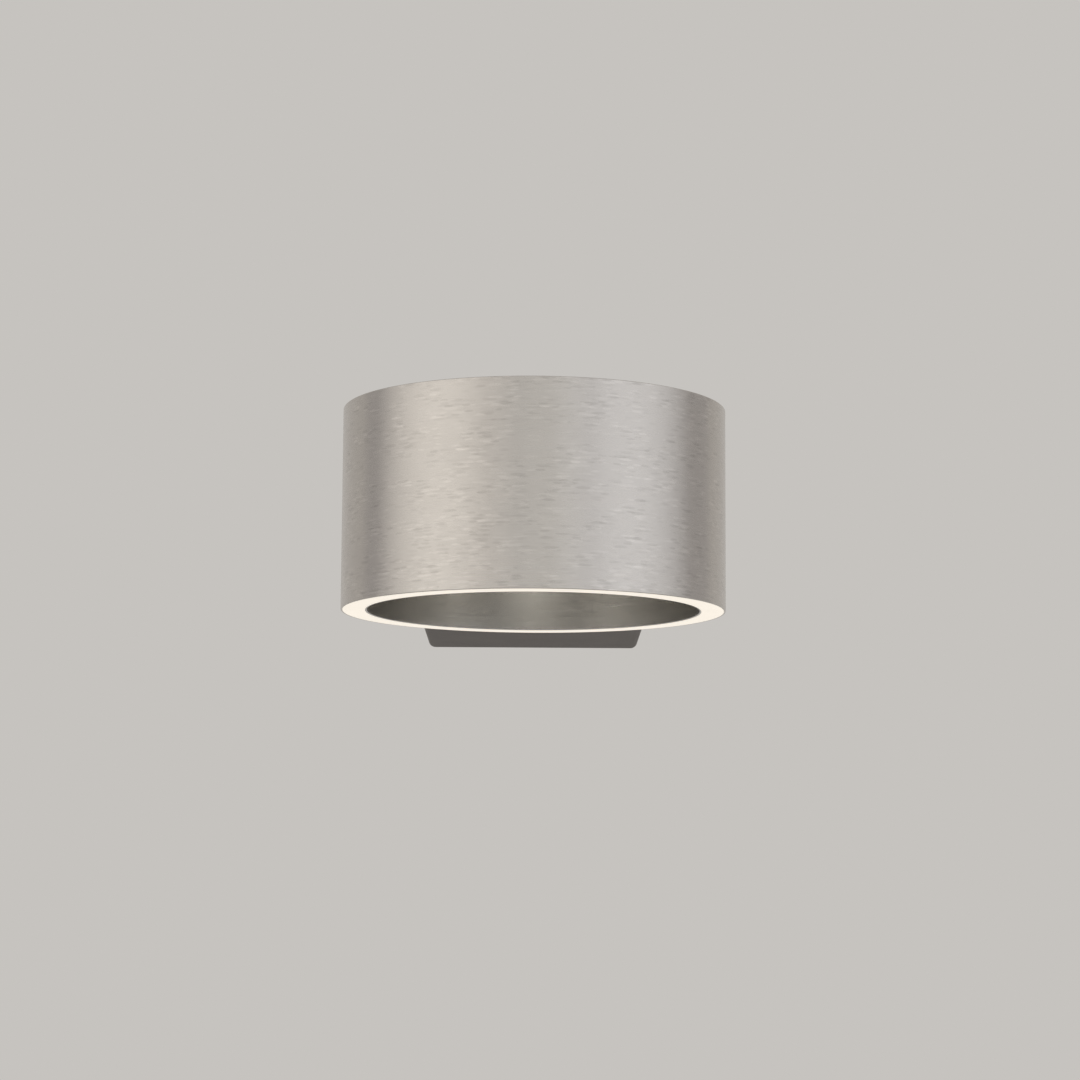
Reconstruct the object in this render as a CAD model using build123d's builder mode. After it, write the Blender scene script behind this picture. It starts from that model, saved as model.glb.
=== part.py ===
from build123d import *
import os

# Tube wall light: a short open ring of two brushed metal tubes, lit at both ends, on a rear housing.
# Millimetres. The wall is the plane Y = 0, the room lies towards -Y, and Z is up.
# The origin is where the supply cable leaves the wall, in the middle of the wall plate.

os.makedirs("parts", exist_ok=True)

# Ring: the outer tube, the inner tube and the channel between them
tube_diameter = 152.0
tube_height = 80.0
tube_wall = 2.0
ring_width = 10.3  # from the outer skin to the bore
end_lip = 0.7  # edge of metal left round each diffuser
edge_break = 0.2

# Opal rings that close the channel
diffuser_cap = 2.5
skirt_depth = 5.0
skirt_wall = 1.0

# Aluminium ring that carries the two LED boards in the channel
carrier_height = 48.0
carrier_flange = 2.0
carrier_web = 1.8
screw_boss_width = 10.0
screw_boss_height = 10.0

# LED boards
board_thickness = 1.0
board_margin = 0.5
led_count = 36
led_length = 3.5
led_width = 2.8
led_height = 0.8
board_screw_count = 3
board_screw_start = 30.0  # degrees, midway between two LEDs
board_screw_size = 2.0
board_screw_length = 4.5

# Rear housing
housing_reach = 61.0  # from the wall to the back of the ring
housing_width = 92.0
housing_wall = 2.0
housing_corner = 3.0
wall_gap = 0.5  # shadow gap between the housing and the wall
post_size = 9.0

# Screws that hold the ring to the housing
ring_screw_size = 4.0
ring_screw_spread = 20.0
ring_screw_length = 14.0
pad_radius = 5.0
pad_height = 1.5
washer_radius = 4.4
washer_thickness = 0.8

# Bush where the LED leads pass from the housing into the ring
bush_radius = 4.0
bush_bore = 2.9
bush_flange = 1.3
bush_flange_width = 1.5

# Wall plate, a strip of steel with its top and bottom edges folded forward
plate_margin = 4.0  # from the ends of the slots to the plate's sides
plate_thickness = 2.0
plate_fold = 12.0
fold_radius = 1.0
slot_spacing = 60.0
slot_length = 12.0
slot_radius = 2.25
cable_bore = 5.0
cable_bush_wall = 3.0
cable_bush_flange = 2.0

# Pads inside the housing that hang it on the wall plate's folds
hanger_spread = 26.0
hanger_width = 10.0
hanger_depth = 10.0
hanger_height = 3.7
hanger_setback = 2.5
set_screw_size = 4.0
set_screw_sink = 0.4

# Gear tray across the housing
wiring_depth = 20.0  # from the wall to the tray
tray_thickness = 1.5
tray_clearance = 1.0
tray_screw_size = 3.0
tray_screw_length = 8.0

# LED driver on the front of the tray
driver_end_space = 13.0  # room for the leads at each end
driver_width = 34.0
driver_depth = 18.0
driver_corner = 2.0
ear_width = 8.0
ear_length = 6.0
ear_thickness = 2.0
ear_offset = 22.0
driver_screw_size = 3.0
driver_screw_tail = 1.0  # past the back of the tray

# Terminal block on the back of the tray
block_width = 16.0
block_depth = 12.0
pole_count = 3
pole_pitch = 10.0
clamp_radius = 1.8
clamp_spread = 4.5
clamp_depth = 3.0
clamp_sink = 0.5
clamp_slot = 0.8
block_well = 4.0
block_screw_size = 3.0
entry_size = 3.6
entry_depth = 3.0

# Leads from the terminal block round the tray to the driver
supply_diameter = 2.0
supply_loop = 7.0  # how far they stand out from the driver's end
supply_height = 6.0  # above the tray, where they leave the terminal block
supply_bend = 3.5
supply_bush_wall = 1.0
supply_bush_flange = 1.2

# Leads from the driver to the LED boards, two to each board
lead_diameter = 1.2
lead_offset = 1.3
lead_pitch = 2.0
lead_loop = 7.0
lead_clearance = 4.0
lead_bend = 3.0
lead_turn = 2.0
lead_tail = 0.6
lead_room = 0.5  # round the leads, where they pass through the carrier

# Earth screw on the tray, with the lug on the end of the earth lead
earth_screw_size = 4.0
earth_screw_length = 8.0
earth_side = 12.0  # from the tray's middle
earth_rise = 10.0  # from the tray's lower edge
earth_nut_size = 7.0  # across its flats
earth_nut_height = 3.2
lug_radius = 3.8
lug_thickness = 0.8
lug_neck = 3.0
lug_reach = 6.0
barrel_wall = 0.5
barrel_length = 5.0
earth_run = 4.0
earth_bend = 2.5

# Clearances
slide_fit = 0.3  # between the wall plate and what pulls off it
close_fit = 0.05  # between pieces that are screwed, pressed or bonded together
saddle_fit = 0.1

# Screw heads and their hexagon sockets, as shares of the screw's size
head_width_share = 1.9
head_height_share = 0.65
socket_width_share = 0.6
socket_depth_share = 0.35

# Places worked out from the sizes above
ring_radius = tube_diameter / 2
bore_radius = ring_radius - ring_width
channel_outer = ring_radius - tube_wall
channel_inner = bore_radius + tube_wall
channel_middle = (channel_outer + channel_inner) / 2
axis_distance = housing_reach + ring_radius
half_height = tube_height / 2
seat_height = half_height - diffuser_cap
carrier_outer = channel_outer - close_fit
carrier_inner = channel_inner + close_fit
carrier_top = carrier_height / 2
board_top = carrier_top + board_thickness
saddle_outer = ring_radius + saddle_fit
saddle_inner = saddle_outer + housing_wall
saddle_crown = axis_distance - saddle_inner
room_width = housing_width - 2 * housing_wall
room_height = tube_height - 2 * housing_wall
plate_width = slot_spacing + slot_length + 2 * plate_margin
plate_height = room_height - 2 * (hanger_height + slide_fit)
pad_face = saddle_crown - pad_height
tray_front = wiring_depth + tray_thickness
tray_width = room_width - 2 * tray_clearance
tray_height = room_height - 2 * tray_clearance
post_places = [
    (x * (room_width - post_size) / 2, z * (room_height - post_size) / 2) for x in (-1, 1) for z in (-1, 1)
]
ring_screw_places = [(-ring_screw_spread, 0), (ring_screw_spread, 0)]
hanger_places = [(x * hanger_spread, z) for x in (-1, 1) for z in (-1, 1)]
set_screw_places = [(x * hanger_spread, -hanger_setback - hanger_depth / 2) for x in (-1, 1)]
driver_front = tray_front + driver_depth
ear_height = (driver_width + ear_length) / 2
ear_places = [(-ear_offset, ear_height), (ear_offset, -ear_height)]
driver_length = room_width - 2 * driver_end_space
driver_end = driver_length / 2
driver_middle = tray_front + driver_depth / 2
supply_place = driver_end + supply_loop
block_side = supply_place - supply_bend - slide_fit
block_place = block_side - block_width / 2
lead_radius = (carrier_inner + carrier_web + carrier_outer) / 2
pole_heights = [(pole_count - 1) / 2 * pole_pitch - pole * pole_pitch for pole in range(pole_count)]
block_screw_places = [(block_place, (pole_heights[i] + pole_heights[i + 1]) / 2) for i in range(pole_count - 1)]
clamp_well = 2 * (clamp_radius + close_fit)
clamp_places = [(block_place + x * clamp_spread, z) for x in (-1, 1) for z in pole_heights]
earth_seat = wiring_depth - lug_thickness - washer_thickness
supply_bush_bore = supply_diameter / 2 + close_fit
supply_bush_radius = supply_bush_bore + supply_bush_wall
supply_bush_places = [(supply_place, height) for height in pole_heights[:2]]
supply_depth = wiring_depth - supply_height
earth_height = earth_rise - tray_height / 2
earth_place = (earth_side, earth_height)
barrel_radius = supply_diameter / 2 + close_fit + barrel_wall
barrel_place = earth_side + lug_reach
barrel_start = barrel_place + 2 * barrel_wall

ring_section = Plane.XZ.offset(axis_distance)
ring_axis = Axis((0, -axis_distance, 0), (0, 0, 1))


def from_wall(depth):
    """Upright plane at this depth in front of the wall. Its Z points into the room."""
    return Plane.XZ.offset(depth)


def ring_plan(height):
    """Level plane with its origin on the ring's axis."""
    return Plane.XY.offset(height).shift_origin((0, -axis_distance, height))


def add_screws(seat, places, size, length, side=1):
    """Round-headed screws with hexagon sockets. The heads stand on the seat plane, on its Z side, or behind it
    where side is -1."""
    head_height = head_height_share * size
    with BuildSketch(seat) as heads:
        with Locations(*places):
            Circle(head_width_share * size / 2)
    extrude(heads.sketch, amount=side * head_height)
    with BuildSketch(seat) as shanks:
        with Locations(*places):
            Circle(size / 2)
    extrude(shanks.sketch, amount=-side * length)
    with BuildSketch(seat.offset(side * head_height)) as sockets:
        with Locations(*places):
            RegularPolygon(socket_width_share * size, 6)
    extrude(sockets.sketch, amount=-side * socket_depth_share * size, mode=Mode.SUBTRACT)


def add_lead(points, radii, diameter):
    """An insulated lead, six-sided, along straight runs joined by arcs."""
    with BuildLine() as route:
        FilletPolyline(*points, radius=radii)
    start = Plane(origin=route.line @ 0, z_dir=route.line % 0)
    with BuildSketch(start) as section:
        RegularPolygon(diameter / 2, 6)
    sweep(section.sketch, path=route.line)


def add_bush(seat, places, bore, barrel, flange_width, flange, length, side=1):
    """Flanged rubber bushes. The flange stands on the seat plane, on the side given, and the barrel goes through."""
    with BuildSketch(seat) as flanges:
        with Locations(*places):
            Circle(barrel + flange_width)
            Circle(bore, mode=Mode.SUBTRACT)
    extrude(flanges.sketch, amount=side * flange)
    with BuildSketch(seat) as barrels:
        with Locations(*places):
            Circle(barrel)
            Circle(bore, mode=Mode.SUBTRACT)
    extrude(barrels.sketch, amount=-side * length)


def finish(piece, name):
    """Names the piece and writes it as parts/NAME.step."""
    piece.part.label = name
    export_step(piece.part, f"parts/{name}.step")


# Outer tube: rebated at both ends, so that only a thin lip stands round each diffuser
with BuildPart() as outer_tube:
    with BuildSketch(ring_section):
        with Locations((channel_outer, 0)):
            Rectangle(tube_wall, tube_height, align=(Align.MIN, Align.CENTER))
        with Locations((channel_outer, seat_height), (channel_outer, -half_height)):
            Rectangle(tube_wall - end_lip, diffuser_cap, align=Align.MIN, mode=Mode.SUBTRACT)
    revolve(axis=ring_axis)
    rims = outer_tube.edges().filter_by(GeomType.CIRCLE).group_by(SortBy.RADIUS)[-1]
    chamfer(rims, length=edge_break)
    with BuildSketch(from_wall(saddle_crown)):
        with Locations(*ring_screw_places):
            Circle(ring_screw_size / 2 + close_fit)
        Circle(bush_radius + close_fit)
    extrude(amount=ring_radius, mode=Mode.SUBTRACT)
finish(outer_tube, "outer_tube")

# Inner tube: the same rebates on its outer side, and a plain bore
with BuildPart() as inner_tube:
    with BuildSketch(ring_section):
        with Locations((bore_radius, 0)):
            Rectangle(tube_wall, tube_height, align=(Align.MIN, Align.CENTER))
        with Locations((channel_inner, seat_height), (channel_inner, -half_height)):
            Rectangle(tube_wall - end_lip, diffuser_cap, align=(Align.MAX, Align.MIN), mode=Mode.SUBTRACT)
    revolve(axis=ring_axis)
    rims = inner_tube.edges().filter_by(GeomType.CIRCLE).group_by(SortBy.RADIUS)[0]
    chamfer(rims, length=edge_break)
finish(inner_tube, "inner_tube")

# Upper diffuser: a flat cap on the two rebates, with a skirt down each tube
with BuildPart() as upper_diffuser:
    with BuildSketch(ring_section):
        with Locations((bore_radius + end_lip + close_fit, seat_height)):
            Rectangle(ring_width - 2 * (end_lip + close_fit), diffuser_cap, align=Align.MIN)
        with Locations((carrier_inner, seat_height)):
            Rectangle(skirt_wall, skirt_depth, align=(Align.MIN, Align.MAX))
        with Locations((carrier_outer, seat_height)):
            Rectangle(skirt_wall, skirt_depth, align=Align.MAX)
    revolve(axis=ring_axis)
finish(upper_diffuser, "upper_diffuser")

# Carrier ring: a C-section open towards the outer tube, with two bosses at the back for the ring screws
with BuildPart() as carrier_ring:
    with BuildSketch(ring_section):
        with Locations((carrier_inner, 0)):
            Rectangle(carrier_web, carrier_height, align=(Align.MIN, Align.CENTER))
        with Locations((carrier_inner, carrier_top - carrier_flange), (carrier_inner, -carrier_top)):
            Rectangle(carrier_outer - carrier_inner, carrier_flange, align=Align.MIN)
    revolve(axis=ring_axis)
    with BuildSketch(ring_plan(-screw_boss_height / 2)):
        with Locations((-ring_screw_spread, 0), (ring_screw_spread, 0)):
            Rectangle(screw_boss_width, ring_radius, align=(Align.CENTER, Align.MIN))
        Circle(carrier_outer, mode=Mode.INTERSECT)
        Circle(carrier_inner + carrier_web / 2, mode=Mode.SUBTRACT)
    extrude(amount=screw_boss_height)
    with BuildSketch(from_wall(saddle_crown)):
        with Locations(*ring_screw_places):
            Circle(ring_screw_size / 2 + close_fit)
    extrude(amount=pad_height + ring_screw_length, mode=Mode.SUBTRACT)
    with BuildSketch(ring_plan(-carrier_top)):
        with PolarLocations(channel_middle, board_screw_count, board_screw_start):
            Circle(board_screw_size / 2 + close_fit)
        with Locations((0, lead_radius)):
            SlotCenterToCenter(2 * lead_offset, lead_diameter + 2 * lead_room)
    extrude(amount=carrier_height, mode=Mode.SUBTRACT)
finish(carrier_ring, "carrier_ring")

# Upper LED board: a narrow ring, screwed to the carrier and pierced for its two leads
with BuildPart() as upper_led_board:
    with BuildSketch(ring_plan(carrier_top)):
        Circle(carrier_outer - board_margin)
        Circle(carrier_inner + board_margin, mode=Mode.SUBTRACT)
        with PolarLocations(channel_middle, board_screw_count, board_screw_start):
            Circle(board_screw_size / 2 + close_fit, mode=Mode.SUBTRACT)
        with Locations((0, lead_radius)):
            SlotCenterToCenter(2 * lead_offset, lead_diameter + 2 * close_fit, mode=Mode.SUBTRACT)
    extrude(amount=board_thickness)
finish(upper_led_board, "upper_led_board")

# Upper LEDs: evenly spaced, half a step off the board's screws and leads
with BuildPart() as upper_leds:
    with BuildSketch(ring_plan(board_top)):
        with PolarLocations(channel_middle, led_count, start_angle=180 / led_count):
            Rectangle(led_width, led_length)
    extrude(amount=led_height)
finish(upper_leds, "upper_leds")

with BuildPart() as upper_board_screws:
    with PolarLocations(channel_middle, board_screw_count, board_screw_start) as spots:
        board_screw_places = [(spot.position.X, spot.position.Y) for spot in spots.local_locations]
    add_screws(ring_plan(board_top), board_screw_places, board_screw_size, board_screw_length)
finish(upper_board_screws, "upper_board_screws")

# The lower end of the ring mirrors the upper one
with BuildPart() as lower_diffuser:
    mirror(upper_diffuser.part, about=Plane.XY)
finish(lower_diffuser, "lower_diffuser")

with BuildPart() as lower_led_board:
    mirror(upper_led_board.part, about=Plane.XY)
finish(lower_led_board, "lower_led_board")

with BuildPart() as lower_leds:
    mirror(upper_leds.part, about=Plane.XY)
finish(lower_leds, "lower_leds")

with BuildPart() as lower_board_screws:
    mirror(upper_board_screws.part, about=Plane.XY)
finish(lower_board_screws, "lower_board_screws")

# Rear housing: a cast shell, open at the wall, with its front coped to the ring
with BuildPart() as rear_housing:
    with BuildSketch(from_wall(wall_gap)):
        RectangleRounded(housing_width, tube_height, housing_corner)
    extrude(amount=axis_distance - wall_gap)
    with BuildSketch(Plane.XY.offset(-room_height / 2)):
        Rectangle(room_width, axis_distance, align=(Align.CENTER, Align.MAX))
        with Locations((0, -axis_distance)):
            Circle(saddle_inner, mode=Mode.SUBTRACT)
    extrude(amount=room_height, mode=Mode.SUBTRACT)
    # posts for the tray, in the four corners
    with BuildSketch(from_wall(tray_front)):
        with Locations(*post_places):
            Rectangle(post_size, post_size)
    extrude(amount=axis_distance - tray_front)
    # flat pads for the ring screws
    with BuildSketch(from_wall(pad_face)):
        with Locations(*ring_screw_places):
            Circle(pad_radius)
    extrude(amount=axis_distance - pad_face)
    # pads that hang on the wall plate's folds
    with BuildSketch(from_wall(hanger_setback)):
        with Locations(*[(x, z * (room_height - hanger_height) / 2) for x, z in hanger_places]):
            Rectangle(hanger_width, hanger_height)
    extrude(amount=hanger_depth)
    # the saddle that the ring sits in
    with BuildSketch(Plane.XY.offset(-tube_height)):
        with Locations((0, -axis_distance)):
            Circle(saddle_outer)
    extrude(amount=2 * tube_height, mode=Mode.SUBTRACT)
    with BuildSketch(from_wall(tray_front)):
        with Locations(*ring_screw_places):
            Circle(ring_screw_size / 2 + close_fit)
        Circle(bush_radius + close_fit)
    extrude(amount=axis_distance - tray_front, mode=Mode.SUBTRACT)
    with BuildSketch(from_wall(tray_front)):
        with Locations(*post_places):
            Circle(tray_screw_size / 2 + close_fit)
    extrude(amount=tray_screw_length, mode=Mode.SUBTRACT)
    with BuildSketch(Plane.XY.offset(half_height)):
        with Locations(*set_screw_places):
            Circle(set_screw_size / 2 + close_fit)
    extrude(amount=-(housing_wall + hanger_height), mode=Mode.SUBTRACT)
finish(rear_housing, "rear_housing")

# Set screws in the top, out of sight from below, with hexagon sockets, bearing on the wall plate's upper fold
with BuildPart() as set_screws:
    with BuildSketch(Plane.XY.offset(half_height - set_screw_sink)):
        with Locations(*set_screw_places):
            Circle(set_screw_size / 2)
            RegularPolygon(set_screw_size / 4, 6, mode=Mode.SUBTRACT)
    extrude(amount=-housing_wall)
    with BuildSketch(Plane.XY.offset(half_height - set_screw_sink - housing_wall)):
        with Locations(*set_screw_places):
            Circle(set_screw_size / 2)
    extrude(amount=set_screw_sink - hanger_height)
finish(set_screws, "set_screws")

# Ring screws and washers, driven from inside the housing
with BuildPart() as ring_screws:
    add_screws(from_wall(pad_face - washer_thickness), ring_screw_places, ring_screw_size, ring_screw_length, side=-1)
finish(ring_screws, "ring_screws")

with BuildPart() as ring_washers:
    with BuildSketch(from_wall(pad_face - washer_thickness)):
        with Locations(*ring_screw_places):
            Circle(washer_radius)
            Circle(ring_screw_size / 2 + close_fit, mode=Mode.SUBTRACT)
    extrude(amount=washer_thickness)
finish(ring_washers, "ring_washers")

# Bush in the saddle and the outer tube, for the four LED leads
with BuildPart() as lead_bush:
    bush_seat = saddle_crown - close_fit
    bush_length = axis_distance - channel_outer + bush_flange / 2 - bush_seat
    add_bush(
        from_wall(bush_seat), [(0, 0)], bush_bore, bush_radius, bush_flange_width, bush_flange, bush_length, side=-1
    )
finish(lead_bush, "lead_bush")

# Wall plate: keyed to the wall by two level slots, with the folds that the housing hangs on
with BuildPart() as wall_plate:
    with BuildSketch(Plane.YZ.offset(-plate_width / 2)):
        Rectangle(plate_fold, plate_height, align=(Align.MAX, Align.CENTER))
        with Locations((-plate_thickness, 0)):
            Rectangle(
                plate_fold,
                plate_height - 2 * plate_thickness,
                align=(Align.MAX, Align.CENTER),
                mode=Mode.SUBTRACT,
            )
    extrude(amount=plate_width)
    folds = wall_plate.edges().filter_by(Axis.X).group_by(Axis.Y)
    fillet(folds[-1], radius=fold_radius + plate_thickness)
    inner_folds = wall_plate.edges().filter_by(Axis.X).filter_by_position(
        Axis.Y, -plate_thickness - edge_break, -plate_thickness + edge_break
    )
    fillet(inner_folds, radius=fold_radius)
    with BuildSketch(from_wall(0)):
        with Locations((-slot_spacing / 2, 0), (slot_spacing / 2, 0)):
            SlotOverall(slot_length, 2 * slot_radius)
        Circle(cable_bore + cable_bush_wall + close_fit)
    extrude(amount=plate_thickness, mode=Mode.SUBTRACT)
finish(wall_plate, "wall_plate")

# Bush round the supply cable, flush with the back of the plate
with BuildPart() as cable_bush:
    barrel = cable_bore + cable_bush_wall
    add_bush(
        from_wall(plate_thickness), [(0, 0)], cable_bore, barrel, cable_bush_wall, cable_bush_flange, plate_thickness
    )
finish(cable_bush, "cable_bush")

# Gear tray: a steel plate on the four posts, notched to pass the hanging pads
with BuildPart() as gear_tray:
    with BuildSketch(from_wall(wiring_depth)):
        RectangleRounded(tray_width, tray_height, housing_corner)
        with Locations(*[(x, z * tray_height / 2) for x, z in hanger_places]):
            Rectangle(
                hanger_width + 2 * tray_clearance,
                2 * hanger_height,
                mode=Mode.SUBTRACT,
            )
        with Locations(*post_places):
            Circle(tray_screw_size / 2 + close_fit, mode=Mode.SUBTRACT)
        with Locations(*ear_places):
            Circle(driver_screw_size / 2 + close_fit, mode=Mode.SUBTRACT)
        with Locations(*block_screw_places):
            Circle(block_screw_size / 2 + close_fit, mode=Mode.SUBTRACT)
        with Locations(*supply_bush_places):
            Circle(supply_bush_radius + close_fit, mode=Mode.SUBTRACT)
        with Locations(earth_place):
            Circle(earth_screw_size / 2 + close_fit, mode=Mode.SUBTRACT)
    extrude(amount=tray_thickness)
finish(gear_tray, "gear_tray")

with BuildPart() as tray_screws:
    add_screws(from_wall(wiring_depth), post_places, tray_screw_size, tray_screw_length, side=-1)
finish(tray_screws, "tray_screws")

# LED driver: a potted case with two ears
with BuildPart() as led_driver:
    with BuildSketch(from_wall(tray_front)):
        RectangleRounded(driver_length, driver_width, driver_corner)
    extrude(amount=driver_depth)
    chamfer(led_driver.faces().sort_by(Axis.Y)[0].edges(), length=driver_corner / 2)
    with BuildSketch(from_wall(tray_front)):
        with Locations(*ear_places):
            Rectangle(ear_width, ear_length + driver_corner)
        with Locations(*ear_places):
            Circle(driver_screw_size / 2 + close_fit, mode=Mode.SUBTRACT)
    extrude(amount=ear_thickness)
finish(led_driver, "led_driver")

with BuildPart() as driver_screws:
    driver_screw_length = ear_thickness + tray_thickness + driver_screw_tail
    add_screws(from_wall(tray_front + ear_thickness), ear_places, driver_screw_size, driver_screw_length)
finish(driver_screws, "driver_screws")

# Terminal block: three poles, with wire entries on both sides and wells for its clamp and fixing screws
with BuildPart() as terminal_block:
    with BuildSketch(from_wall(wiring_depth - block_depth)):
        with Locations((block_place, 0)):
            Rectangle(block_width, pole_count * pole_pitch)
        with Locations(*block_screw_places):
            Circle(block_screw_size / 2 + close_fit, mode=Mode.SUBTRACT)
    extrude(amount=block_depth)
    with BuildSketch(from_wall(wiring_depth - block_depth)):
        with Locations(*block_screw_places):
            Circle(block_screw_size)
    extrude(amount=block_well, mode=Mode.SUBTRACT)
    with BuildSketch(from_wall(wiring_depth - block_depth)):
        with Locations(*clamp_places):
            Rectangle(clamp_well, clamp_well)
    extrude(amount=clamp_sink + clamp_depth, mode=Mode.SUBTRACT)
    with BuildSketch(Plane.YZ.offset(block_side - entry_depth)):
        with Locations(*[(-supply_depth, z) for z in pole_heights]):
            Rectangle(entry_size, entry_size)
    extrude(amount=entry_depth, mode=Mode.SUBTRACT)
    with BuildSketch(Plane.YZ.offset(block_side - block_width)):
        with Locations(*[(-supply_depth, z) for z in pole_heights]):
            Rectangle(entry_size, entry_size)
    extrude(amount=entry_depth, mode=Mode.SUBTRACT)
finish(terminal_block, "terminal_block")

# Clamp screws of the terminal block, sunk in their wells and slotted
with BuildPart() as clamp_screws:
    with BuildSketch(from_wall(wiring_depth - block_depth + clamp_sink)):
        with Locations(*clamp_places):
            Circle(clamp_radius)
    extrude(amount=clamp_depth)
    with BuildSketch(from_wall(wiring_depth - block_depth + clamp_sink)):
        with Locations(*clamp_places):
            Rectangle(2 * clamp_radius, clamp_slot)
    extrude(amount=clamp_slot, mode=Mode.SUBTRACT)
finish(clamp_screws, "clamp_screws")

with BuildPart() as block_screws:
    block_screw_length = block_depth - block_well + tray_thickness - close_fit
    block_screw_seat = wiring_depth - block_depth + block_well
    add_screws(from_wall(block_screw_seat), block_screw_places, block_screw_size, block_screw_length, side=-1)
finish(block_screws, "block_screws")

# Bushes where the two supply leads pass through the tray
with BuildPart() as supply_bushes:
    add_bush(
        from_wall(wiring_depth),
        supply_bush_places,
        supply_bush_bore,
        supply_bush_radius,
        supply_bush_wall,
        supply_bush_flange,
        tray_thickness,
        side=-1,
    )
finish(supply_bushes, "supply_bushes")

# Supply leads: out of the block, through the tray and back into the end of the driver
for name, height in (("brown_supply_lead", pole_heights[0]), ("blue_supply_lead", pole_heights[1])):
    with BuildPart() as supply_lead:
        supply_route = [
            (block_side - entry_depth, -supply_depth, height),
            (supply_place, -supply_depth, height),
            (supply_place, -driver_middle, height),
            (driver_end, -driver_middle, height),
        ]
        add_lead(supply_route, [supply_bend, supply_bend], supply_diameter)
    finish(supply_lead, name)

# Earth lead: from the last pole down to the lug on the tray
with BuildPart() as earth_lead:
    barrel_depth = wiring_depth - barrel_radius
    earth_route = [
        (block_side - entry_depth, -supply_depth, pole_heights[-1]),
        (supply_place, -supply_depth, pole_heights[-1]),
        (supply_place, -supply_depth, earth_height),
        (barrel_place + barrel_length + earth_run, -barrel_depth, earth_height),
        (barrel_start, -barrel_depth, earth_height),
    ]
    add_lead(earth_route, [supply_bend, earth_bend, supply_bend], supply_diameter)
finish(earth_lead, "earth_lead")

with BuildPart() as earth_lug:
    with BuildSketch(from_wall(wiring_depth - lug_thickness)):
        with Locations(earth_place):
            Circle(lug_radius)
            Rectangle(lug_reach + barrel_wall, lug_neck, align=(Align.MIN, Align.CENTER))
            Circle(earth_screw_size / 2 + close_fit, mode=Mode.SUBTRACT)
    extrude(amount=lug_thickness)
    with BuildSketch(Plane.YZ.offset(barrel_place)):
        with Locations((-barrel_depth, earth_height)):
            Circle(barrel_radius)
    extrude(amount=barrel_length)
    with BuildSketch(Plane.YZ.offset(barrel_start)):
        with Locations((-barrel_depth, earth_height)):
            Circle(supply_diameter / 2 + close_fit)
    extrude(amount=barrel_length, mode=Mode.SUBTRACT)
finish(earth_lug, "earth_lug")

with BuildPart() as earth_washer:
    with BuildSketch(from_wall(earth_seat)):
        with Locations(earth_place):
            Circle(lug_radius)
            Circle(earth_screw_size / 2 + close_fit, mode=Mode.SUBTRACT)
    extrude(amount=washer_thickness)
finish(earth_washer, "earth_washer")

with BuildPart() as earth_screw:
    add_screws(from_wall(earth_seat), [earth_place], earth_screw_size, earth_screw_length, side=-1)
finish(earth_screw, "earth_screw")

with BuildPart() as earth_nut:
    with BuildSketch(from_wall(tray_front)):
        with Locations(earth_place):
            RegularPolygon(earth_nut_size / 2, 6, major_radius=False)
            Circle(earth_screw_size / 2 + close_fit, mode=Mode.SUBTRACT)
    extrude(amount=earth_nut_height)
finish(earth_nut, "earth_nut")


def led_lead_route(side, end):
    """From the driver round its front to the bush, and up or down the channel. side tells the two leads of a pair
    apart, -1 for the outer one, and end is 1 for the upper board and -1 for the lower."""
    height = end * lead_offset
    loop = -driver_end - lead_loop + side * lead_pitch / 2
    start_depth = driver_middle + side * lead_pitch / 2
    front_depth = driver_front + lead_clearance - side * lead_pitch / 2
    channel_depth = axis_distance - lead_radius
    return [
        (-driver_end, -start_depth, height),
        (loop, -start_depth, height),
        (loop, -front_depth, height),
        (side * lead_offset, -front_depth, height),
        (side * lead_offset, -channel_depth, height),
        (side * lead_offset, -channel_depth, end * (board_top + lead_tail)),
    ]


for name, side in (("red_led_leads", -1), ("black_led_leads", 1)):
    with BuildPart() as led_leads:
        for end in (1, -1):
            add_lead(led_lead_route(side, end), [lead_bend, lead_bend, lead_bend, lead_turn], lead_diameter)
    finish(led_leads, name)
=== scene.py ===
import bmesh
import bpy
import math
from mathutils import Matrix, Vector


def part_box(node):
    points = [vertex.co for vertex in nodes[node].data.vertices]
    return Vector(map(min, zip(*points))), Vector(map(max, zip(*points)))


# Tube wall light in satin nickel, lit at both rims. Metres, in the model's own frame: the wall is the plane
# Y = 0, the room lies towards -Y, and Z is up.

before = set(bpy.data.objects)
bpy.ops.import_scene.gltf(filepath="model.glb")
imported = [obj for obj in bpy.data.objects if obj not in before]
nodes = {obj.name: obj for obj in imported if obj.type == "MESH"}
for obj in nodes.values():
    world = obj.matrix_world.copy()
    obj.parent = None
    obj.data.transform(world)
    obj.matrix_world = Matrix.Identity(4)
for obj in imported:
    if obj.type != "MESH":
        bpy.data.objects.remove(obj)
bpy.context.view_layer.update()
scene = bpy.context.scene

# Ring
outer_low, outer_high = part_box("outer_tube")
ring_centre = (outer_low + outer_high) / 2
outer_radius = (outer_high.x - outer_low.x) / 2
bore_radius = 0.066  # to the nearest millimetre, for the bore's pattern alone
front, back = -1, 1  # along Y

# Brushing: each cell of a length by a width may hold one dash
dash_cells = ((0.0085, 0.0016), (0.0055, 0.0012))
dash_reach = 0.42  # from the middle of its cell, in cells
dash_softness = 0.16
dash_chance = (0.42, 0.85)  # a cell's random value below which it is empty, and above which its dash is full
dash_waver = 0.0005
burr_shift = 0.0107  # keeps the burrs apart from the scratches

# Camera, fitted to the ring's edges in the photograph: below the light, looking up. Angles in degrees.
camera_place = (0, -1.2816, -0.1728)
camera_turn = -0.1266
camera_tilt = 8.034
camera_roll = 0.3388
focal_length = 97.15  # millimetres, on a sensor 36 wide
sensor_width = 36

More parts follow.
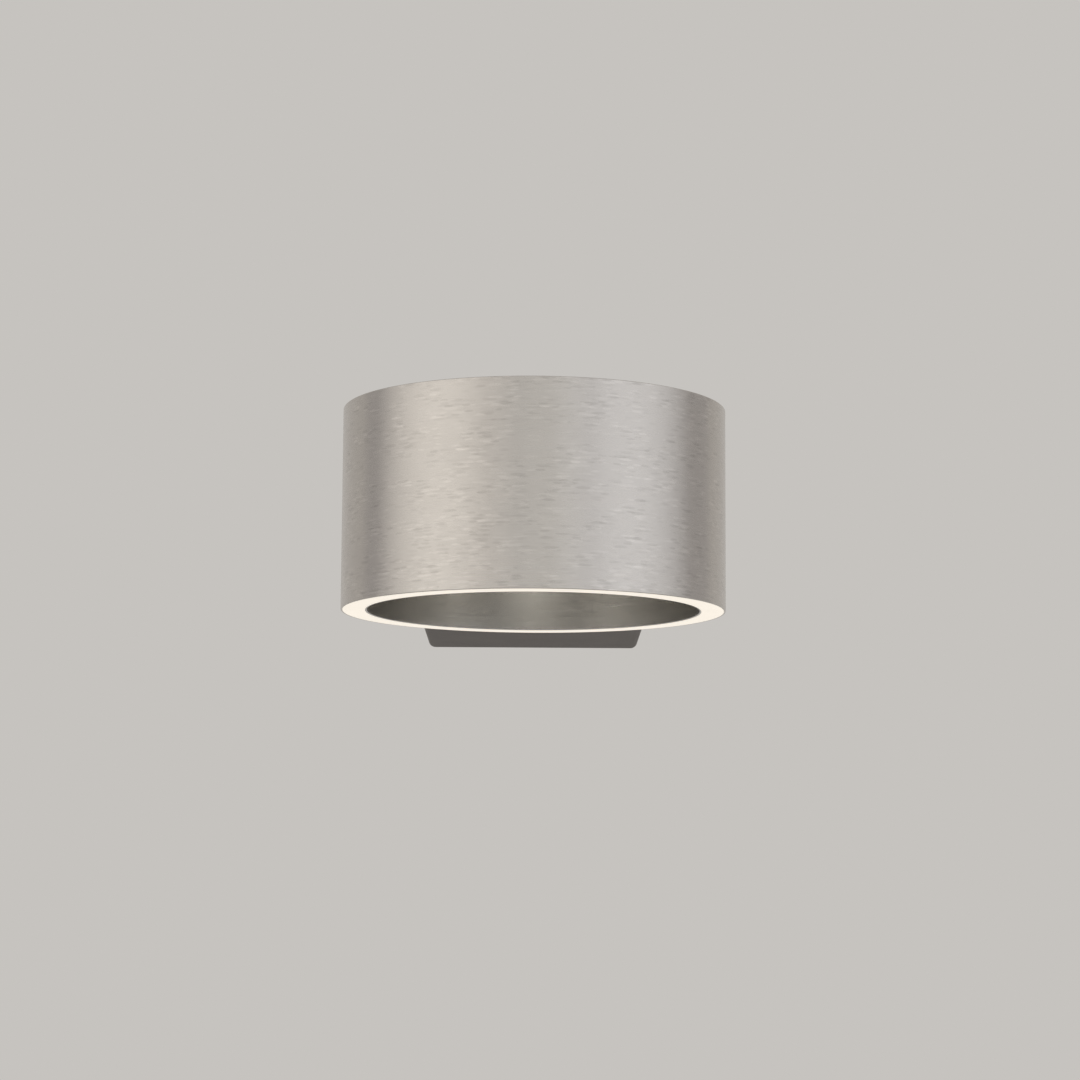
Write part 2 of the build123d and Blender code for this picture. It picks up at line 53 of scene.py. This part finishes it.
# Lamps and floor
lamp_colour = (1.0, 0.99, 0.97)
overhead = Vector((0, -0.9, 2.0))  # from the ring's centre
overhead_size = 1.6
overhead_radiance = 0.6
glow_place = (0, 0, 0.075)
glow_width = 0.2
glow_height = 0.08
glow_radiance = 5.0
floor_radius = 6.0
floor_level = -1.2
floor_fade = (2.5, 5.9)  # distances from the origin between which it fades out

# Surroundings: soft panels far off, round a pale studio. Each has its bearing from the front towards +X, how
# far to either side it ends and is full, all in degrees, the curve between the two, and its colour.
panels = (
    (184, 61, 52, "SMOOTHSTEP", (0.1, 0.095, 0.075)),  # behind, faint
    (-58, 48.5, 0, "LINEAR", (0.73, 0.715, 0.675)),  # left, warm
    (57.5, 48.5, 0, "LINEAR", (0.6, 0.63, 0.67)),  # right, cool
    (2.5, 30, 0, "LINEAR", (0.38, 0.393, 0.383)),  # in front, dim
)
between_panels = (0.468, 0.451, 0.446)
backdrop = (0.565, 0.546, 0.521)


class Value:
    """A socket that varies over a surface, used in ordinary arithmetic."""

    def __init__(self, pattern, socket):
        self.pattern = pattern
        self.socket = socket

    def __add__(self, other):
        return self.pattern.maths("ADD", self, other)

    def __radd__(self, other):
        return self.pattern.maths("ADD", other, self)

    def __sub__(self, other):
        return self.pattern.maths("SUBTRACT", self, other)

    def __rsub__(self, other):
        return self.pattern.maths("SUBTRACT", other, self)

    def __mul__(self, other):
        return self.pattern.maths("MULTIPLY", self, other)

    def beside(self, output):
        """Another output of the same node."""
        return Value(self.pattern, self.socket.node.outputs[output])


class Pattern:
    """A shader's nodes, written as arithmetic."""

    def __init__(self, tree, coordinates):
        self.tree = tree
        self.place = self.add("ShaderNodeTexCoord", output=coordinates)

    def add(self, kind, settings=None, sockets=None, output=0):
        """Adds a node. Its settings are set first, then its sockets, each to a value or a link."""
        node = self.tree.nodes.new(kind)
        for key, value in (settings or {}).items():
            setattr(node, key, value)
        for key, value in (sockets or {}).items():
            if isinstance(value, Value):
                self.tree.links.new(value.socket, node.inputs[key])
            else:
                node.inputs[key].default_value = value
        return Value(self, node.outputs[output])

    def maths(self, operation, first, second):
        return self.add("ShaderNodeMath", {"operation": operation}, {0: first, 1: second})

    def vectors(self, operation, first, second=(0, 0, 0), output="Vector"):
        return self.add("ShaderNodeVectorMath", {"operation": operation}, {0: first, 1: second}, output)

    def noise(self, x, y, z, detail=2.0):
        """Soft noise from 0 to 1, with features about x, y and z metres across."""
        where = self.vectors("MULTIPLY", self.place, (1 / x, 1 / y, 1 / z))
        return self.add("ShaderNodeTexNoise", {}, {"Vector": where, "Scale": 1.0, "Detail": detail})

    def step(self, value, low, high, curve="SMOOTHSTEP"):
        """0 below low and 1 above high, rising between them along a smooth curve, or a LINEAR one."""
        sockets = {"Value": value, "From Min": low, "From Max": high}
        return self.add("ShaderNodeMapRange", {"interpolation_type": curve}, sockets)

    def mix(self, factor, first, second, blend="MIX"):
        """One colour turning into another, or with ADD, the second laid over the first."""
        first = first if isinstance(first, Value) else (*first, 1)
        second = second if isinstance(second, Value) else (*second, 1)
        settings = {"data_type": "RGBA", "blend_type": blend}
        # by number, because the node's sockets for colours and for plain values share their names
        return self.add("ShaderNodeMix", settings, {0: factor, 6: first, 7: second}, output=2)


class Finish(Pattern):
    """A surface finish: a Principled shader, with patterns on the piece's own coordinates."""

    def __init__(self, name, roughness, **constants):
        self.material = bpy.data.materials.new(name)
        self.material.use_nodes = True
        super().__init__(self.material.node_tree, "Object")
        self.shader = self.tree.nodes["Principled BSDF"]
        self.shader.inputs["Roughness"].default_value = roughness
        for key, value in constants.items():
            self.shader.inputs[key.replace("_", " ")].default_value = value

    def feed(self, socket, value):
        self.tree.links.new(value.socket, self.shader.inputs[socket])

    def relief(self, height, depth):
        """Raises and lowers the surface by depth metres."""
        bump = self.add("ShaderNodeBump", {}, {"Height": height, "Distance": depth, "Strength": 1.0})
        self.feed("Normal", bump)

    def put_on(self, *names):
        for name in names:
            for slot in nodes[name].material_slots:
                slot.material = self.material


class Brushing(Finish):
    """Satin nickel, brushed round a tube, with short level scratches and burrs. stretch is how much further
    it spreads a reflection up and down than sideways, depth is how deep the scratches are, and seam is the
    side where the unrolled pattern meets, front or back."""

    def __init__(self, name, dark, light, roughness, stretch, depth, radius, seam):
        super().__init__(name, roughness, Metallic=1.0, Anisotropic=stretch, Anisotropic_Rotation=0.25)
        from_axis = self.vectors("SUBTRACT", self.place, ring_centre)
        across = self.add("ShaderNodeSeparateXYZ", {}, {0: from_axis}, output="X")
        self.round = self.maths("ARCTAN2", across, across.beside("Y") * -seam) * radius
        self.height = across.beside("Z")
        streaks = self.noise(0.02, 0.02, 0.0012, detail=0.0)
        cloud = self.noise(0.02, 0.02, 0.012)
        # where the brush pressed, and how far it strayed from level
        press = self.step(self.noise(0.012, 0.012, 0.006), 0.3, 0.6)
        waver = self.noise(0.012, 0.012, 0.004, detail=0.0) * dash_waver
        scratches = sum(self.dashes(*cell, waver) for cell in dash_cells) * press
        burrs = sum(self.dashes(*cell, waver + burr_shift) for cell in dash_cells) * press
        tone = 0.5 + burrs * 0.28 - scratches * 0.33 + (streaks - 0.5) * 0.1 + (cloud - 0.5) * 0.2
        self.feed("Base Color", self.mix(tone, dark, light))
        self.feed("Roughness", roughness + (streaks - 0.5) * 0.04)
        self.relief(burrs - scratches + streaks * 0.1, depth)

    def dashes(self, length, width, lift):
        """Level dashes of varied strength, in cells of length by width metres, all lifted by lift metres."""
        along = self.round * (1 / length)
        up = (self.height + lift) * (1 / width)
        flat = self.add("ShaderNodeCombineXYZ", {}, {"X": along, "Y": up})
        settings = {"voronoi_dimensions": "2D"}
        from_middle = self.add("ShaderNodeTexVoronoi", settings, {"Vector": flat, "Scale": 1.0})
        strength = self.step(from_middle.beside("Color"), *dash_chance)
        return self.step(dash_reach - from_middle, 0, dash_softness) * strength


Brushing(
    "Brushed nickel, outside",
    dark=(0.46, 0.435, 0.405),
    light=(0.64, 0.605, 0.565),
    roughness=0.27,
    stretch=0.7,
    depth=0.000007,
    radius=outer_radius,
    seam=back,
).put_on("outer_tube")
# The bore's nickel is the outside's, made lighter: painted light that lifts the bore's dim sides
Brushing(
    "Brushed nickel, bore, lightened as painted light",
    dark=(0.515, 0.502, 0.475),
    light=(0.665, 0.648, 0.614),
    roughness=0.26,
    stretch=0.0,
    depth=0.0000012,
    radius=bore_radius,
    seam=front,
).put_on("inner_tube")

# Rear housing: a fine matt powder coat; its dark grey is painted shade, standing in for the shade under the
# ring
powder_roughness = 0.6
powder = Finish("Powder coat, darkened as painted shade", powder_roughness, Specular_IOR_Level=0.3)
powder_grain = powder.noise(0.0012, 0.0012, 0.0012, detail=3.0)
powder_cloud = powder.noise(0.02, 0.02, 0.02)
powder_tone = 0.5 + (powder_grain - 0.5) * 1.1 + (powder_cloud - 0.5) * 0.6
# painted shade: both greys are darkened so that the housing reads as lying in shade
powder.feed("Base Color", powder.mix(powder_tone, (0.09, 0.081, 0.073), (0.15, 0.134, 0.122)))
powder.feed("Roughness", powder_roughness + (powder_grain - 0.5) * 0.3)
powder.relief(powder_grain, 0.00018)
powder.put_on("rear_housing")

# Diffusers: warm white opal, lit from inside
opal = Finish("Lit opal", 0.4, Emission_Strength=1.0)
opal_cloud = opal.noise(0.02, 0.02, 0.02)
opal.feed("Base Color", opal.mix(opal_cloud, (0.48, 0.465, 0.43), (0.52, 0.505, 0.47)))
opal.feed("Emission Color", opal.mix(opal_cloud, (0.63, 0.575, 0.495), (0.67, 0.61, 0.525)))
opal.relief(opal.noise(0.0006, 0.0006, 0.0006), 0.00001)
opal.put_on("upper_diffuser", "lower_diffuser")


def plain_metal(name, dark, light, roughness, grain=0.0004, run=0.004):
    """Mill or plated metal, with cloudy plating and a faint rolled grain, whose streaks are run metres long
    and grain metres wide."""
    finish = Finish(name, roughness, Metallic=1.0)
    rolled = finish.noise(run, grain, grain, detail=3.0)
    cloud = finish.noise(0.006, 0.006, 0.006, detail=3.0)
    finish.feed("Base Color", finish.mix(0.5 + (rolled - 0.5) * 0.8 + (cloud - 0.5) * 0.9, dark, light))
    finish.feed("Roughness", roughness + (cloud - 0.5) * 0.2)
    finish.relief(rolled, 0.00001)
    return finish


fine_grain = {"grain": 0.0003, "run": 0.0008}  # on small pieces
plain_metal("Mill aluminium", (0.62, 0.63, 0.65), (0.8, 0.81, 0.83), 0.35).put_on("carrier_ring")
plain_metal("Zinc plate", (0.5, 0.51, 0.53), (0.74, 0.75, 0.77), 0.34).put_on("wall_plate", "gear_tray")
plain_metal("Zinc screws", (0.55, 0.56, 0.57), (0.76, 0.77, 0.78), 0.3, **fine_grain).put_on(
    "upper_board_screws",
    "lower_board_screws",
    "ring_screws",
    "ring_washers",
    "tray_screws",
    "driver_screws",
    "block_screws",
    "earth_lug",
    "earth_washer",
)
plain_metal("Black set screws", (0.02, 0.02, 0.021), (0.06, 0.06, 0.062), 0.42, **fine_grain).put_on(
    "set_screws"
)
plain_metal("Brass", (0.62, 0.46, 0.2), (0.8, 0.63, 0.32), 0.3, **fine_grain).put_on(
    "clamp_screws", "earth_screw", "earth_nut"
)


def moulded(name, dark, light, roughness, texture=0.0004, depth=0.00002):
    """Moulded plastic or rubber, with slight mottling and a skin whose grains are texture metres across."""
    finish = Finish(name, roughness)
    skin = finish.noise(texture, texture, texture)
    cloud = finish.noise(0.008, 0.008, 0.008, detail=3.0)
    finish.feed("Base Color", finish.mix(0.5 + (cloud - 0.5) * 0.8 + (skin - 0.5) * 0.3, dark, light))
    finish.feed("Roughness", roughness + (skin - 0.5) * 0.15)
    finish.relief(skin, depth)
    return finish


moulded("White solder mask", (0.8, 0.8, 0.78), (0.88, 0.88, 0.86), 0.45).put_on(
    "upper_led_board", "lower_led_board"
)
moulded("LED phosphor", (0.85, 0.68, 0.2), (0.95, 0.82, 0.34), 0.35).put_on("upper_leds", "lower_leds")
moulded("Black rubber", (0.025, 0.025, 0.025), (0.05, 0.05, 0.05), 0.7).put_on(
    "lead_bush", "cable_bush", "supply_bushes"
)
moulded("White driver case", (0.72, 0.72, 0.71), (0.8, 0.8, 0.79), 0.5, texture=0.0008, depth=0.00005).put_on(
    "led_driver"
)
moulded("Ivory terminal plastic", (0.74, 0.73, 0.68), (0.82, 0.81, 0.76), 0.35).put_on("terminal_block")
moulded("Brown insulation", (0.13, 0.055, 0.025), (0.17, 0.075, 0.035), 0.4).put_on("brown_supply_lead")
moulded("Blue insulation", (0.03, 0.09, 0.38), (0.045, 0.12, 0.48), 0.4).put_on("blue_supply_lead")
moulded("Red insulation", (0.45, 0.02, 0.015), (0.55, 0.035, 0.025), 0.4).put_on("red_led_leads")
moulded("Black insulation", (0.015, 0.015, 0.015), (0.03, 0.03, 0.03), 0.42).put_on("black_led_leads")

# Earth lead: green and yellow by turns
earth_roughness = 0.4
earth = Finish("Green and yellow insulation", earth_roughness)
earth_skin = earth.noise(0.0006, 0.0006, 0.0006)
earth_waves = {"Vector": earth.place, "Scale": 60.0}  # both colours in about 10 mm
earth_bands = earth.add("ShaderNodeTexWave", {"bands_direction": "DIAGONAL"}, earth_waves)
earth_mask = earth.step(earth_bands, 0.45, 0.55)
earth.feed("Base Color", earth.mix(earth_mask, (0.04, 0.3, 0.05), (0.85, 0.68, 0.05)))
earth.feed("Roughness", earth_roughness + (earth_skin - 0.5) * 0.15)
earth.relief(earth_skin, 0.00002)
earth.put_on("earth_lead")

# Camera
camera_data = bpy.data.cameras.new("Camera")
camera_data.sensor_width = sensor_width
camera_data.lens = focal_length
camera = bpy.data.objects.new("Camera", camera_data)
scene.collection.objects.link(camera)
turn = Matrix.Rotation(math.radians(camera_turn), 4, "Z")
tilt = Matrix.Rotation(math.radians(90 + camera_tilt), 4, "X")
roll = Matrix.Rotation(math.radians(camera_roll), 4, "Z")
camera.matrix_world = Matrix.Translation(camera_place) @ turn @ tilt @ roll
scene.camera = camera


def add_softbox(name, place, aim, width, height, radiance):
    """A soft lamp at a place, aimed along a direction."""
    lamp = bpy.data.lights.new(name, "AREA")
    lamp.shape = "RECTANGLE"
    lamp.size = width
    lamp.size_y = height
    lamp.energy = radiance * math.pi * width * height
    lamp.color = lamp_colour
    softbox = bpy.data.objects.new(name, lamp)
    scene.collection.objects.link(softbox)
    facing = Vector(aim).to_track_quat("-Z", "Y").to_matrix().to_4x4()
    softbox.matrix_world = Matrix.Translation(place) @ facing
    softbox.visible_camera = False
    return softbox


overhead_place = ring_centre + overhead
add_softbox("Overhead softbox", overhead_place, -overhead, overhead_size, overhead_size, overhead_radiance)

# Small and just behind, where a wall would catch the upper glow, for the bore alone to reflect
glow = add_softbox("Glow behind", glow_place, (0, -1, 0), glow_width, glow_height, glow_radiance)
glow_receivers = bpy.data.collections.new("Glow behind")
glow_receivers.objects.link(nodes["inner_tube"])
glow.light_linking.receiver_collection = glow_receivers

# Floor: pale and round, fading out into the surroundings
floor_mesh = bpy.data.meshes.new("Floor")
disc = bmesh.new()
bmesh.ops.create_circle(disc, cap_ends=True, segments=96, radius=floor_radius)
bmesh.ops.translate(disc, verts=disc.verts, vec=(0, 0, floor_level))
disc.to_mesh(floor_mesh)
disc.free()
floor = bpy.data.objects.new("Floor", floor_mesh)
scene.collection.objects.link(floor)
paint = Finish("Pale floor", 0.9)
paint.feed("Base Color", paint.mix(paint.noise(0.4, 0.4, 0.4), (0.74, 0.735, 0.72), (0.76, 0.755, 0.74)))
distance = paint.vectors("LENGTH", paint.place, output="Value")
solid = Value(paint, paint.shader.outputs["BSDF"])
clear = paint.add("ShaderNodeBsdfTransparent")
fading = paint.add("ShaderNodeMixShader", {}, {0: paint.step(distance, *floor_fade), 1: solid, 2: clear})
paint.tree.links.new(fading.socket, paint.tree.nodes["Material Output"].inputs["Surface"])
floor_mesh.materials.append(paint.material)

# Surroundings. The camera sees a plain backdrop in place of the panels.
world = bpy.data.worlds.new("Studio")
world.use_nodes = True
scene.world = world
studio = Pattern(world.node_tree, "Generated")
lowered = studio.vectors("MULTIPLY", studio.place, (1, 1, 0.5))  # makes the panels twice as tall
bearing = studio.vectors("NORMALIZE", lowered)
light = between_panels
for azimuth, spread, core, curve, colour in panels:
    angle = math.radians(azimuth)
    towards = (math.sin(angle), -math.cos(angle), 0)
    along = studio.vectors("DOT_PRODUCT", bearing, towards, output="Value")
    panel = studio.step(along, math.cos(math.radians(spread)), math.cos(math.radians(core)), curve)
    light = studio.mix(panel, light, colour, "ADD")
straight = studio.add("ShaderNodeLightPath", output="Is Camera Ray")
light = studio.mix(straight, light, backdrop)
world.node_tree.links.new(light.socket, world.node_tree.nodes["Background"].inputs["Color"])
scene.view_settings.view_transform = "Standard"
scene.cycles.glossy_bounces = 12  # light reaches the bore's sides by many reflections
